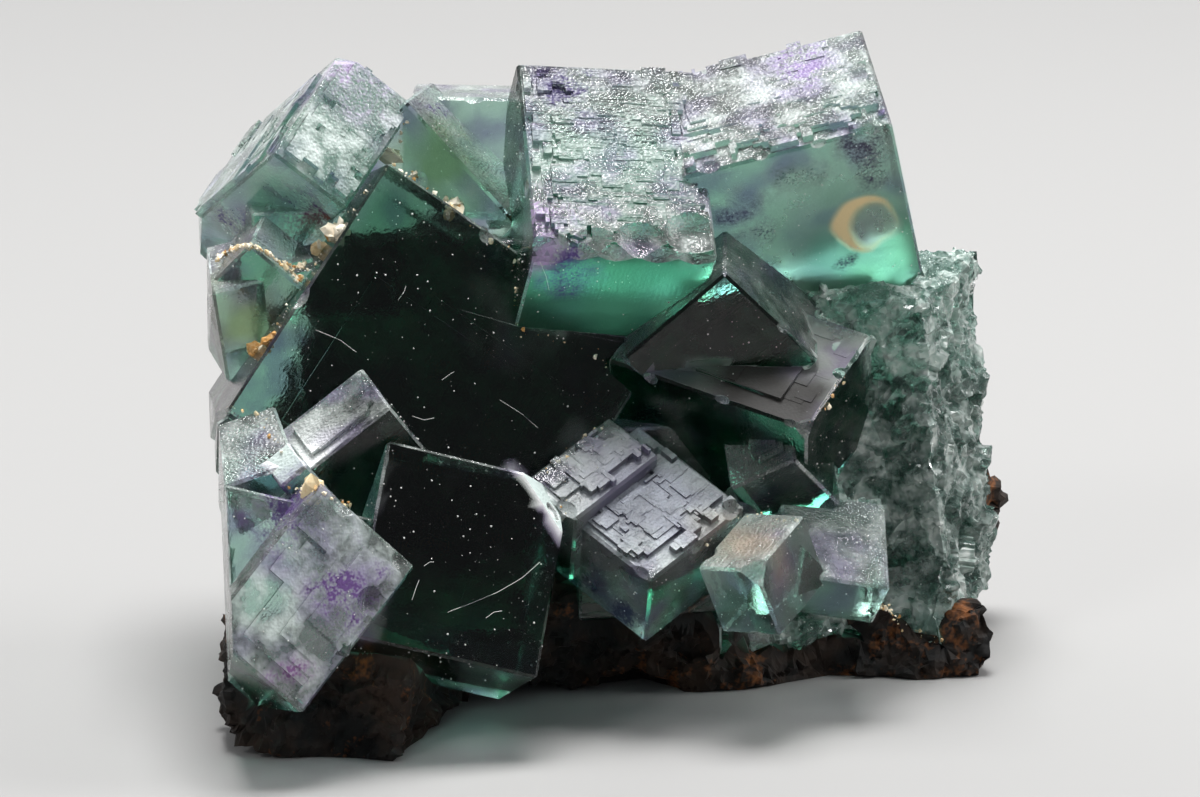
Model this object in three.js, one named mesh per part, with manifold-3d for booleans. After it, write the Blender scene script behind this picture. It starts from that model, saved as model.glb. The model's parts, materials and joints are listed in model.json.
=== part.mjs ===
// Fluorite specimen: intergrown cube crystals on a crust of dark, iron-stained rock.
// Millimetres. +X is the viewer's right, +Y points away from the viewer and +Z is up.
// The rock stands on z = 0.
import * as THREE from 'three';
import { ConvexGeometry } from 'three/addons/geometries/ConvexGeometry.js';
import { mergeVertices } from 'three/addons/utils/BufferGeometryUtils.js';
import Module from 'manifold-3d';

const wasm = await Module();
wasm.setup();

// Driving dimensions, mm, with angles in degrees
const EDGE_WEAR = 0.14; // bevel that handling leaves on every crystal edge
const TERRACE_RISE = { least: 0.1, most: 0.34 }; // height of a terrace above the face that carries it
const TERRACE_MARGIN = 0.3; // bare rim that a terrace leaves along the edge of its face
const TERRACE_ROOT = 1.2; // depth to which a terrace is sunk in its crystal
const CHIP_RADIUS = { least: 0.7, most: 1.5 }; // shell-shaped chips knocked out of the edges
const CHIP_DEPTH = { least: 0.12, most: 0.3 };
const CHIPS_EACH = 1; // random chips on each crystal
const SCALLOP = { radius: 1.9, depth: 0.5 }; // the larger chips along one bruised edge
const TERRACE_SHARE = { least: 0.3, most: 0.8 }; // share of the face that a terrace covers, each way
const CHIP_SPREAD = 0.9; // a chip lies within this share of the half length of its edge
const SEAM_GAP = 0.3; // clearance between the crystals and the rock that carries them
const ROCK_RELIEF = [{ wave: 5.5, reach: 1.7 }, { wave: 2.1, reach: 0.7 }]; // the rock's bumps
const FRACTURE_RELIEF = [{ wave: 3.4, reach: 0.6 }, { wave: 1.5, reach: 0.4 }]; // those of a broken side
const FRACTURE_SLACK = 0.15; // extra clearance along a broken side, whose bumps differ a little when swollen
const SEED = 7; // starts the random sizes and places of terraces and chips
const FAR = 40; // reach of the blocks that only cut

// The crystals that show: centre, edge lengths and turn about x, y and z.
const CRYSTALS = {
  topLeft: { at: [-15.7, 10.8, 25.2], edges: [13.8, 4.6, 7.2], turn: [133, -28, -118] },
  centre: { at: [-9, 4.8, 15.4], edges: [16.8, 15, 10], turn: [-109, -15, 33] },
  topCentre: { at: [0.1, 6.2, 24.3], edges: [9.2, 12, 8.2], turn: [38, 10, 5] },
  topRight: { at: [9.8, 9.2, 24.8], edges: [10.8, 8.3, 11.2], turn: [-154, 11, 171] },
  backMiddle: { at: [-8.8, 8.9, 24.3], edges: [8.5, 3.8, 7.5], turn: [23, 41, -27] },
  backRim: { at: [-6.9, 11.8, 26.2], edges: [5.5, 5.5, 6], turn: [-5, 1, 0] },
  leftSmall: { at: [-16.6, 4.4, 21.8], edges: [4, 3.1, 5], turn: [-76, 9, 41] },
  leftMiddle: { at: [-17, 4.9, 19.8], edges: [6, 5.2, 5], turn: [-78, -18, -7] },
  leftLow: { at: [-17.1, 0.1, 13.9], edges: [4.2, 3, 4], turn: [-129, -14, -40] },
  leftFront: { at: [-17, -4.5, 13], edges: [4.2, 5, 4.6], turn: [24, -12, 15] },
  stepped: { at: [-12.2, -3.4, 13.9], edges: [6.2, 3.9, 5.5], turn: [32, -28, 27] },
  brightChip: { at: [-14.8, -6.5, 13.7], edges: [1.7, 2.1, 3], turn: [40, -25, 32] },
  frontLeft: { at: [-15.2, -8.7, 8.4], edges: [9.2, 6.5, 6], turn: [-105, -24, 130] },
  frontLeftTop: { at: [-16.4, -8.1, 9.1], edges: [8.5, 7, 5.8], turn: [63, 16, 170] },
  frontCentre: { at: [-7.7, -4.2, 8.3], edges: [9.5, 10, 7], turn: [63, 16, 170] },
  lavender: { at: [2.1, -0.5, 9.2], edges: [7.4, 6.8, 5], turn: [35, 3, 136] },
  lavenderBack: { at: [-0.5, -0.2, 10.9], edges: [3.5, 6, 5], turn: [35, 3, 136] },
  clearSmall: { at: [8.1, -3.9, 8.1], edges: [4.8, 3.6, 4], turn: [14, -19, -123] },
  greySmall: { at: [9.1, 1.5, 12.3], edges: [3.8, 4.8, 4.5], turn: [126, 6, -149] },
  darkRecess: { at: [6.1, 4.3, 18.5], edges: [7.1, 6.9, 6.5], turn: [104, -1, -136] },
  ledge: { at: [7.1, 4.5, 15], edges: [11.1, 7.5, 7], turn: [-150, 1, -153] },
  greenSlab: { at: [11.4, -0.1, 7.9], edges: [5.5, 3, 5.5], turn: [125, 1, -15] },
};

// The massive fluorite behind and between the crystals.
const MASSIVE = {
  root: { at: [-1, 9.5, 12], edges: [30, 7, 17], turn: [0, 0, 10] },
  coreTop: { at: [0, 8, 19], edges: [22, 5, 8], turn: [0, 0, 8] },
  coreTopLeft: { at: [-14.5, 8, 21], edges: [7, 6, 7], turn: [0, 0, 8] },
  coreLeft: { at: [-10.5, 1.5, 8], edges: [12, 8, 9], turn: [0, 0, 5] },
  coreRight: { at: [4, 6.5, 9], edges: [12, 8, 10], turn: [0, 0, 12] },
};

// The broken right side: blocks with a rough fracture, cut into so many cells along each edge.
const BROKEN = {
  rightFront: { at: [10.5, 8.8, 10.2], edges: [12.5, 8, 16.5], turn: [0, 0, 24], cells: [8, 5, 11] },
  rightBack: { at: [14.2, 11.2, 10.6], edges: [9.2, 10, 18.4], turn: [0, -4, -18], cells: [6, 6, 12] },
};

// Faces that grew in steps: the crystal, the face by its outward axis, and how many terraces it carries.
const TERRACED = [
  { on: 'topCentre', axis: 2, side: 1, count: 8 },
  { on: 'topRight', axis: 2, side: -1, count: 6 },
  { on: 'lavender', axis: 2, side: 1, count: 6 },
  { on: 'lavenderBack', axis: 2, side: 1, count: 2 },
  { on: 'stepped', axis: 2, side: 1, count: 3 },
  { on: 'frontLeft', axis: 2, side: -1, count: 3 },
  { on: 'topLeft', axis: 0, side: -1, count: 4 },
  { on: 'topLeft', axis: 1, side: -1, count: 3 },
  { on: 'ledge', axis: 2, side: -1, count: 2 },
  { on: 'centre', axis: 2, side: -1, count: 2 },
  { on: 'greySmall', axis: 1, side: -1, count: 2 },
  { on: 'leftMiddle', axis: 1, side: -1, count: 2 },
];

// Corners lost along the cleavage: which corner, and how far back along its edges.
const CLEAVED = [
  { on: 'frontCentre', corner: [-1, -1, 1], loss: 2.6 },
  { on: 'topLeft', corner: [-1, -1, -1], loss: 1.1 },
  { on: 'ledge', corner: [-1, -1, -1], loss: 0.9 },
  { on: 'topRight', corner: [-1, -1, 1], loss: 1.6 },
  { on: 'clearSmall', corner: [1, 1, 1], loss: 1.1 },
];

// The bruised lower edge of the top centre crystal, from end to end as a share of its half length.
const BRUISED = { on: 'topCentre', edge: [0, -1, 1], along: 0, spots: [-0.88, -0.5, -0.1, 0.36, 0.8] };

// The flat break on the left: a point on it, and its turn about z.
const LEFT_BREAK = { at: [-18.9, -3], turn: 6.5 };

// Rough slabs that make up the rock, cut into so many cells along each edge.
const SLABS = [
  { at: [0.8, 8.6, 3], edges: [34.5, 15, 6.2], turn: [0, 9, 15], cells: [20, 8, 4] },
  { at: [-12.6, -1.8, 2.7], edges: [9.5, 12.5, 5.8], turn: [0, 6, -12], cells: [7, 9, 4] },
  { at: [-2, 12.2, 10.8], edges: [29, 5.5, 19.5], turn: [4, 0, 7], cells: [15, 3, 10] },
  { at: [15, 14.6, 7.5], edges: [10.5, 4.5, 13], turn: [0, 3, -14], cells: [6, 3, 7] },
];
// The hollow worn under the front of the rock: centre and radii.
const ARCH = { at: [-1.5, -0.5, 0], radii: [7, 6, 2.2] };

function randomFrom(seed) {
  let state = seed;
  return () => {
    state = (state + 0x6d2b79f5) | 0;
    let mixed = Math.imul(state ^ (state >>> 15), 1 | state);
    mixed = (mixed + Math.imul(mixed ^ (mixed >>> 7), 61 | mixed)) ^ mixed;
    return ((mixed ^ (mixed >>> 14)) >>> 0) / 2 ** 32;
  };
}

function between({ least, most }, share) {
  return least + (most - least) * share;
}

function place({ at, turn }) {
  const rotation = new THREE.Euler(...turn.map(THREE.MathUtils.degToRad));
  return new THREE.Matrix4().makeRotationFromEuler(rotation).setPosition(...at);
}

function solidOf(geometry) {
  geometry.deleteAttribute('normal');
  geometry.deleteAttribute('uv');
  const welded = mergeVertices(geometry, 1e-4);
  return new wasm.Manifold(new wasm.Mesh({
    numProp: 3,
    vertProperties: new Float32Array(welded.attributes.position.array),
    triVerts: new Uint32Array(welded.index.array),
  }));
}

function join(solids) {
  return solids.reduce((whole, next) => whole.add(next));
}

// The largest body that a cut leaves; loose slivers and sealed hollows are dropped.
function mainBody(solid) {
  return solid.decompose().reduce((largest, body) => (body.volume() > largest.volume() ? body : largest));
}

// A cube crystal whose edges are bevelled by wear; grow swells it on every side.
function cube({ edges, at, turn }, grow = 0) {
  const outer = new THREE.Vector3(...edges).multiplyScalar(0.5).addScalar(grow);
  const inner = outer.clone().subScalar(EDGE_WEAR);
  const points = [];
  for (const x of [-1, 1]) {
    for (const y of [-1, 1]) {
      for (const z of [-1, 1]) {
        points.push(new THREE.Vector3(x * outer.x, y * inner.y, z * inner.z));
        points.push(new THREE.Vector3(x * inner.x, y * outer.y, z * inner.z));
        points.push(new THREE.Vector3(x * inner.x, y * inner.y, z * outer.z));
      }
    }
  }
  return solidOf(new ConvexGeometry(points).applyMatrix4(place({ at, turn })));
}

// A shell-shaped chip: a ball whose cap dips into an edge or corner of the crystal.
function chip(block, spot, radius, depth) {
  const half = new THREE.Vector3(...block.edges).multiplyScalar(0.5);
  const outward = new THREE.Vector3(...spot.map((share) => (Math.abs(share) === 1 ? share : 0))).normalize();
  const centre = new THREE.Vector3(...spot).multiply(half).addScaledVector(outward, radius - depth);
  const ball = new THREE.IcosahedronGeometry(radius, 2).translate(...centre);
  return solidOf(ball.applyMatrix4(place(block)));
}

function randomChips(block, random) {
  return Array.from({ length: CHIPS_EACH }, () => {
    const spot = [0, 1, 2].map(() => (random() < 0.5 ? -1 : 1));
    spot[Math.floor(random() * spot.length)] = CHIP_SPREAD * (2 * random() - 1);
    return chip(block, spot, between(CHIP_RADIUS, random()), between(CHIP_DEPTH, random()));
  });
}

// The half of space beyond a cleavage plane that crosses one corner of the crystal.
function cleavageCut(block, corner, loss) {
  const half = new THREE.Vector3(...block.edges).multiplyScalar(0.5);
  const outward = new THREE.Vector3(...corner).normalize();
  const distance = (half.x + half.y + half.z - loss) / Math.sqrt(3);
  const facing = new THREE.Quaternion().setFromUnitVectors(new THREE.Vector3(0, 0, 1), outward);
  const beyond = new THREE.BoxGeometry(FAR, FAR, FAR).translate(0, 0, distance + FAR / 2);
  return solidOf(beyond.applyQuaternion(facing).applyMatrix4(place(block)));
}

function plainBlock({ edges, at, turn }) {
  return solidOf(new THREE.BoxGeometry(...edges).applyMatrix4(place({ at, turn })));
}

function terraces({ on, axis, side, count }, random) {
  const block = CRYSTALS[on];
  return Array.from({ length: count }, (_, step) => {
    const edges = [...block.edges];
    const offset = [0, 0, 0];
    for (const across of [0, 1, 2].filter((other) => other !== axis)) {
      const room = block.edges[across] - 2 * TERRACE_MARGIN;
      edges[across] = room * between(TERRACE_SHARE, random());
      offset[across] = (room - edges[across]) * (random() - 0.5);
    }
    const rise = between(TERRACE_RISE, (step + random()) / count);
    edges[axis] = TERRACE_ROOT + rise;
    offset[axis] = side * (block.edges[axis] / 2 + (rise - TERRACE_ROOT) / 2);
    const at = new THREE.Vector3(...offset).applyMatrix4(place(block)).toArray();
    return { at, edges, turn: block.turn };
  });
}

function crystalSolid([name, block], random) {
  const cuts = randomChips(block, random);
  for (const { corner, loss } of CLEAVED.filter((lost) => lost.on === name)) {
    cuts.push(cleavageCut(block, corner, loss));
  }
  if (BRUISED.on === name) {
    for (const share of BRUISED.spots) {
      const spot = [...BRUISED.edge];
      spot[BRUISED.along] = share;
      cuts.push(chip(block, spot, SCALLOP.radius, SCALLOP.depth));
    }
  }
  return cube(block).subtract(join(cuts));
}

// A fixed random value between -1 and 1 for each point whose coordinates are whole numbers.
function lattice(x, y, z) {
  const wave = Math.sin(x * 127.1 + y * 311.7 + z * 74.7) * 43758.5;
  return 2 * THREE.MathUtils.euclideanModulo(wave, 1) - 1;
}

// A smooth random field between -1 and 1, blended from the lattice values around the point.
function field(point) {
  const cell = point.clone().floor();
  const part = point.clone().sub(cell);
  let sum = 0;
  for (const corner of [0, 1, 2, 3, 4, 5, 6, 7]) {
    const step = [corner & 1, (corner >> 1) & 1, corner >> 2];
    const ease = part.toArray().map((share, i) => {
      const smooth = THREE.MathUtils.smoothstep(share, 0, 1);
      return step[i] ? smooth : 1 - smooth;
    });
    sum += ease[0] * ease[1] * ease[2] * lattice(cell.x + step[0], cell.y + step[1], cell.z + step[2]);
  }
  return sum;
}

// Breaks up a smooth shape by shifting its points along random fields, coarse and fine.
function roughen(geometry, relief) {
  const position = geometry.attributes.position;
  for (let i = 0; i < position.count; i += 1) {
    const point = new THREE.Vector3().fromBufferAttribute(position, i);
    const shift = new THREE.Vector3();
    for (const { wave, reach } of relief) {
      const spot = point.clone().divideScalar(wave);
      shift.x += reach * field(spot);
      shift.y += reach * field(spot.clone().addScalar(FAR));
      shift.z += reach * field(spot.clone().subScalar(FAR));
    }
    position.setXYZ(i, ...point.add(shift));
  }
  return geometry;
}

// A rough block of rock or of broken fluorite; grow swells it on every side.
function roughBlock({ at, edges, turn, cells }, relief, grow = 0) {
  const sides = edges.map((edge) => edge + 2 * grow);
  const block = new THREE.BoxGeometry(...sides, ...cells).applyMatrix4(place({ at, turn }));
  return solidOf(roughen(block, relief));
}

function meshOf(name, solid, look) {
  const { vertProperties, triVerts } = solid.getMesh();
  const geometry = new THREE.BufferGeometry();
  geometry.setAttribute('position', new THREE.BufferAttribute(vertProperties, 3));
  geometry.setIndex(new THREE.BufferAttribute(triVerts, 1));
  const mesh = new THREE.Mesh(geometry, new THREE.MeshStandardMaterial(look));
  mesh.name = name;
  return mesh;
}

const random = randomFrom(SEED);
const steps = TERRACED.flatMap((face) => terraces(face, random));
const massive = Object.values(MASSIVE);
const broken = Object.values(BROKEN);

// A flat break trims the left side, and the surface that the specimen stands on trims the rock.
const leftBox = new THREE.BoxGeometry(FAR, 2 * FAR, 2 * FAR).translate(-FAR / 2, 0, 0);
const leftPlace = place({ at: [...LEFT_BREAK.at, 0], turn: [0, 0, LEFT_BREAK.turn] });
const leftBreak = solidOf(leftBox.applyMatrix4(leftPlace));
const ground = solidOf(new THREE.BoxGeometry(2 * FAR, 2 * FAR, FAR).translate(0, 0, -FAR / 2));

const crystals = join([
  ...Object.entries(CRYSTALS).map((entry) => crystalSolid(entry, random)),
  ...steps.map(plainBlock),
  ...massive.map((block) => cube(block)),
  ...broken.map((block) => roughBlock(block, FRACTURE_RELIEF)),
]);
const fluorite = mainBody(crystals.subtract(leftBreak));

// The rock is cut back from the crystals by their own shapes, swollen by the clearance.
const swollen = join([
  ...[...Object.values(CRYSTALS), ...massive].map((block) => cube(block, SEAM_GAP)),
  ...broken.map((block) => roughBlock(block, FRACTURE_RELIEF, SEAM_GAP + FRACTURE_SLACK)),
]);
const arch = new THREE.IcosahedronGeometry(1, 3).scale(...ARCH.radii).translate(...ARCH.at);
const crust = join(SLABS.map((slab) => roughBlock(slab, ROCK_RELIEF)));
const hollow = solidOf(roughen(arch, ROCK_RELIEF));
const rock = mainBody(crust.subtract(join([ground, leftBreak, hollow, swollen])));

const specimen = new THREE.Group();
specimen.add(meshOf('fluorite_crystals', fluorite, { color: '#4f8f7c', roughness: 0.15, metalness: 0 }));
specimen.add(meshOf('host_rock', rock, { color: '#2a2019', roughness: 0.9, metalness: 0 }));

// The origin is the middle of the footprint, at the height of the surface that the rock stands on.
const middle = new THREE.Box3().setFromObject(specimen).getCenter(new THREE.Vector3());
specimen.position.set(-middle.x, -middle.y, 0);

export default specimen;
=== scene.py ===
# %% [markdown]
# # A fluorite specimen on its rock
#
# The object is a natural one: cubes of green and violet fluorite, grown into each other, on a crust of dark
# rock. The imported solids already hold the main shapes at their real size. This lesson dresses them: finer
# growth steps, a real fracture, clear coloured crystal, crumbly rock, crumbs in the seams and dust.

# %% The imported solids
import json
from math import cos, pi, radians, sin

import bmesh
import bpy
import numpy as np
from mathutils import Matrix, Vector, noise
from mathutils.bvhtree import BVHTree

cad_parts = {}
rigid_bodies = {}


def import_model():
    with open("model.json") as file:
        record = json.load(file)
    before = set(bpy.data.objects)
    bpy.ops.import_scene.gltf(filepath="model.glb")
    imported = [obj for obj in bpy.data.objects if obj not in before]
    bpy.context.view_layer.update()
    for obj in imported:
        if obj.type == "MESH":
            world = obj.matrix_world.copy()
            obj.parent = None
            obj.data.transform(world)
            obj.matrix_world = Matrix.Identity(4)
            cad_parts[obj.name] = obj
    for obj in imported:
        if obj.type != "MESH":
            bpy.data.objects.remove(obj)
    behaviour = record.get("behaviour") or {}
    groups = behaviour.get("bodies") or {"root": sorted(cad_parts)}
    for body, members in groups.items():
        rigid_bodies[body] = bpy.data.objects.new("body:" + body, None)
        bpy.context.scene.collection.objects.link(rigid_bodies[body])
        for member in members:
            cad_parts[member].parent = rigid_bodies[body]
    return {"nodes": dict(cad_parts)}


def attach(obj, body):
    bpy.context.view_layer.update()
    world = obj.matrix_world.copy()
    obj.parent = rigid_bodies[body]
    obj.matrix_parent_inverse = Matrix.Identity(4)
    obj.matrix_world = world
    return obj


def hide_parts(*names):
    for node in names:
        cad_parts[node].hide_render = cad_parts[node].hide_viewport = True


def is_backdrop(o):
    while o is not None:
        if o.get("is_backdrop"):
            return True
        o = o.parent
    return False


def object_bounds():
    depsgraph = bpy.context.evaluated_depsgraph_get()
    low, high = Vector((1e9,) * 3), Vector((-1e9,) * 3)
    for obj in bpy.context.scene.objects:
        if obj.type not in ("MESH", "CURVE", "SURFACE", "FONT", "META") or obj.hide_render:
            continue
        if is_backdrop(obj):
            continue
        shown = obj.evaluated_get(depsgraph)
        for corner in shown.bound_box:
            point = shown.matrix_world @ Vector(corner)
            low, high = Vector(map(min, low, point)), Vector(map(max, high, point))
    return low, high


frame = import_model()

MM = 0.001
scene = bpy.context.scene
cad_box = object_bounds()
print("Solids, mm:", [[round(value / MM, 1) for value in corner] for corner in cad_box])

# %% [markdown]
# ## The camera
#
# The photo looks down on the specimen by about fifteen degrees, from far enough that parallel edges stay
# almost parallel. A long lens gives the same calm perspective. The same numbers also tell where the camera
# looks for any pixel of the photo, which is how the finishes below are put on the right crystal: a ray goes
# from the eye through the pixel until it meets the solid.

# %% Camera and photo rays
PHOTO_SIZE = (1200, 797)
VIEW_TILT = radians(15)
VIEW_DISTANCE = 300 * MM
VIEW_WIDTH = 60 * MM
SENSOR = 36
AIM = Vector((-0.07, -3.36, 16.07)) * MM

forward = Vector((0, cos(VIEW_TILT), -sin(VIEW_TILT)))
upward = Vector((0, sin(VIEW_TILT), cos(VIEW_TILT)))
eye = AIM - forward * VIEW_DISTANCE

lens = bpy.data.cameras.new("camera")
lens.sensor_width = SENSOR
lens.lens = SENSOR * VIEW_DISTANCE / VIEW_WIDTH
lens.clip_start = 10 * MM
camera = bpy.data.objects.new("camera", lens)
camera.location = eye
camera.rotation_euler = (pi / 2 - VIEW_TILT, 0, 0)
scene.collection.objects.link(camera)
scene.camera = camera


def photo_ray(pixel):
    """The eye, and the direction in which it looks for a pixel of the photo."""
    scale = VIEW_WIDTH / PHOTO_SIZE[0]
    across = (pixel[0] - PHOTO_SIZE[0] / 2) * scale
    down = (pixel[1] - PHOTO_SIZE[1] / 2) * scale
    return eye, (forward * VIEW_DISTANCE + Vector((across, 0, 0)) - upward * down).normalized()


print("Lens:", round(lens.lens), "mm")

# %% [markdown]
# ## Colours and nodes
#
# Colours are picked on a screen, so they are written as the usual hex values and turned to linear light by
# one function. A second function adds a node, sets it and links it, so that a material below reads as a list
# of what happens to the light.

# %% Helpers for colours and nodes
def linear(colour):
    """An sRGB hex colour as linear red, green, blue and alpha."""
    parts = [int(colour[i:i + 2], 16) / 255 for i in (1, 3, 5)]
    return tuple(p / 12.92 if p <= 0.04045 else ((p + 0.055) / 1.055) ** 2.4 for p in parts) + (1.0,)


def add(tree, kind, links=None, **settings):
    """One new node: its settings, and a value or a socket for each named or numbered input."""
    made = tree.nodes.new(kind)
    for name, value in settings.items():
        setattr(made, name, value)
    for name, value in (links or {}).items():
        if isinstance(value, bpy.types.NodeSocket):
            tree.links.new(value, made.inputs[name])
        else:
            made.inputs[name].default_value = value
    return made


def new_material(name):
    """An empty material with its node tree and its output node."""
    material = bpy.data.materials.new(name)
    material.use_nodes = True
    tree = material.node_tree
    tree.nodes.clear()
    return material, tree, tree.nodes.new("ShaderNodeOutputMaterial")


print("Mid grey in linear light:", round(linear("#808080")[0], 3))

# %% [markdown]
# ## Floor and light
#
# Clear crystal shows what is around it more than its own colour. A pale floor behind it lights the thin
# crystals from the back, a large soft box overhead is mirrored as silver in the faces that look up, a
# smaller one makes the broken right side glitter, and the front is kept dim, with one small box, so that the
# faces that look at the camera stay deep and dark. Four area lamps and a grey world do that.

# %% Floor
FLOOR_SIDE = 4.0
FLOOR_SINK = 0.02 * MM

side = FLOOR_SIDE / 2
outline = [(-side, -side), (side, -side), (side, side), (-side, side)]
floor_mesh = bpy.data.meshes.new("floor")
floor_mesh.from_pydata([(*corner, -FLOOR_SINK) for corner in outline], [], [(0, 1, 2, 3)])
floor = bpy.data.objects.new("floor", floor_mesh)
scene.collection.objects.link(floor)
# Uncoated paper: an even pale tone without a gleam.
paper, tree, output = new_material("matt paper, pale grey")
shader = add(tree, "ShaderNodeBsdfPrincipled", {"Base Color": linear("#9a9998"), "Roughness": 0.9})
tree.links.new(shader.outputs["BSDF"], output.inputs["Surface"])
floor_mesh.materials.append(paper)
floor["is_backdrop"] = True
print("Floor:", FLOOR_SIDE, "m wide")

# %% Lamps and world
LAMPS = {
    "overhead box": dict(at=(0.0, 0.06, 0.42), size=(0.2, 0.2), watts=3.1),
    "back box": dict(at=(-0.05, 0.62, 0.34), size=(1.6, 0.8), watts=3.6),
    "side box": dict(at=(0.42, 0.02, 0.26), size=(0.2, 0.3), watts=1.3),
    "front box": dict(at=(-0.32, -0.4, 0.42), size=(0.12, 0.12), watts=0.6),
}
WORLD_GREY = "#74777a"

for name, lamp in LAMPS.items():
    light = bpy.data.lights.new(name, "AREA")
    light.shape = "RECTANGLE"
    light.size, light.size_y = lamp["size"]
    light.energy = lamp["watts"]
    made = bpy.data.objects.new(name, light)
    made.location = lamp["at"]
    made.rotation_euler = (AIM - made.location).to_track_quat("-Z", "Y").to_euler()
    scene.collection.objects.link(made)

world = bpy.data.worlds.new("grey studio")
world.use_nodes = True
world.node_tree.nodes["Background"].inputs["Color"].default_value = linear(WORLD_GREY)
scene.world = world
scene.view_settings.view_transform = "Standard"
print("Lamps:", ", ".join(LAMPS))

# %% [markdown]
# ## The crystals as one mesh
#
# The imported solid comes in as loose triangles. A copy is merged into one closed skin, because clear material
# needs a skin that knows its inside from its outside. Then a small search finds the flat crystal face under
# a photo pixel, with its own axes: a face of a cube has two directions, and everything that grows on it,
# steps and striations alike, follows them.

# %% A merged copy
SAME_POINT = 1e-7


def merged_copy(node):
    """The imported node's triangles as one skin, in a bmesh."""
    skin = bmesh.new()
    skin.from_mesh(frame["nodes"][node].data)
    bmesh.ops.remove_doubles(skin, verts=skin.verts, dist=SAME_POINT)
    return skin


def add_object(name, mesh):
    """A mesh as an object of the scene, at the origin."""
    made = bpy.data.objects.new(name, mesh)
    scene.collection.objects.link(made)
    return made


def mesh_from(skin, name):
    """Turns a bmesh into a mesh and frees it."""
    mesh = bpy.data.meshes.new(name)
    skin.to_mesh(mesh)
    skin.free()
    return mesh


solid = merged_copy("fluorite_crystals")
solid_tree = BVHTree.FromBMesh(solid)
print("Crystals:", len(solid.verts), "points,", len(solid.faces), "faces")

# %% The search for a face
SAME_TURN = cos(radians(1.0))
SHARP_TURN = cos(radians(30))
FACE_REACH = 0.45 * MM
FACE_SPAN = 9 * MM


def spot_on(pixel):
    """The point and outward direction of the crystals under a photo pixel."""
    spot, out, _, _ = solid_tree.ray_cast(*photo_ray(pixel))
    return spot, out


def same_face(face, spot, out):
    """Whether a face of a skin lies in the flat crystal face through a spot."""
    middle = face.calc_center_median() - spot
    level = abs(middle.dot(out)) < FACE_REACH and middle.length < FACE_SPAN
    return level and face.normal.dot(out) > SAME_TURN


def sharp_lines(faces):
    """The sharp edges of some faces, as vectors."""
    for face in faces:
        for edge in face.edges:
            beside = edge.link_faces
            if len(beside) == 2 and beside[0].normal.dot(beside[1].normal) < SHARP_TURN:
                yield edge.verts[1].co - edge.verts[0].co


def crystal_face(pixel):
    """Centre, axes and half lengths of the flat crystal face under a photo pixel."""
    spot, out = spot_on(pixel)
    faces = [face for face in solid.faces if same_face(face, spot, out)]
    longest = max(sharp_lines(faces), key=lambda line: line.length)
    along = (longest - out * longest.dot(out)).normalized()
    across = out.cross(along)
    spots = [vert.co - spot for face in faces for vert in face.verts]
    low = [min(p.dot(axis) for p in spots) for axis in (along, across)]
    high = [max(p.dot(axis) for p in spots) for axis in (along, across)]
    centre = spot + along * (low[0] + high[0]) / 2 + across * (low[1] + high[1]) / 2
    return centre, (along, across, out), [(high[i] - low[i]) / 2 for i in (0, 1)]


print("Top centre face, half lengths in mm:", [round(h / MM, 1) for h in crystal_face((620, 160))[2]])

# %% [markdown]
# ## Growth steps
#
# A fluorite face grows in flat plates, each a little higher than the one below, with edges that follow the
# cube. The solids hold the largest plates. The finer ones are thin blocks, sunk in the face and laid over
# each other at random, and one boolean joins them all with the crystals, so that the result is still one
# skin. A bump texture could draw such steps, but it would vanish at the outline and in the exported mesh.

# %% Faces that grew in steps
STEPPED_FACES = {
    "top centre": dict(pixel=(620, 160), plates=240, size=(0.12, 1.3), rise=(0.01, 0.1)),
    "top right": dict(pixel=(800, 100), plates=150, size=(0.12, 1.5), rise=(0.01, 0.09)),
    "lavender": dict(pixel=(660, 520), plates=90, size=(0.12, 1.1), rise=(0.01, 0.06)),
    "lavender back": dict(pixel=(585, 470), plates=40, size=(0.12, 0.9), rise=(0.01, 0.06)),
    "top left upper": dict(pixel=(330, 130), plates=40, size=(0.2, 1.8), rise=(0.01, 0.06)),
    "top left side": dict(pixel=(262, 130), plates=30, size=(0.2, 1.8), rise=(0.01, 0.06)),
    "front left": dict(pixel=(290, 590), plates=26, size=(0.3, 2.4), rise=(0.01, 0.04)),
    "stepped": dict(pixel=(330, 440), plates=30, size=(0.2, 1.6), rise=(0.01, 0.12)),
    "ledge": dict(pixel=(790, 400), plates=30, size=(0.2, 1.5), rise=(0.01, 0.05)),
    "centre": dict(pixel=(430, 300), plates=5, size=(0.4, 3.0), rise=(0.01, 0.03)),
    "front centre": dict(pixel=(470, 560), plates=5, size=(0.4, 2.4), rise=(0.01, 0.03)),
}
print("Stepped faces:", len(STEPPED_FACES))

# %% Plates on those faces
PLATE_ROOT = 0.5 * MM
PLATE_SHARE = 1.7
GROWTH_SEED = 11


def block(axes, lengths, centre):
    """A straight block with the given axes, edge lengths and centre, as a mesh."""
    skin = bmesh.new()
    bmesh.ops.create_cube(skin, size=1)
    turn = Matrix([axis * length for axis, length in zip(axes, lengths)]).transposed().to_4x4()
    bmesh.ops.transform(skin, matrix=Matrix.Translation(centre) @ turn, verts=skin.verts)
    return mesh_from(skin, "block")


def plates_on(face, random):
    """Thin blocks that lie on a crystal face along its axes, half sunk in it."""
    centre, axes, half = crystal_face(face["pixel"])
    made = []
    for _ in range(face["plates"]):
        size = [min(random.uniform(*face["size"]) * MM, PLATE_SHARE * h) for h in half]
        shift = [random.uniform(-1, 1) * (h - s / 2) for h, s in zip(half, size)]
        rise = random.uniform(*face["rise"]) * MM
        middle = centre + axes[0] * shift[0] + axes[1] * shift[1] + axes[2] * (rise - PLATE_ROOT) / 2
        made.append(block(axes, (*size, PLATE_ROOT + rise), middle))
    return made


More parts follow.
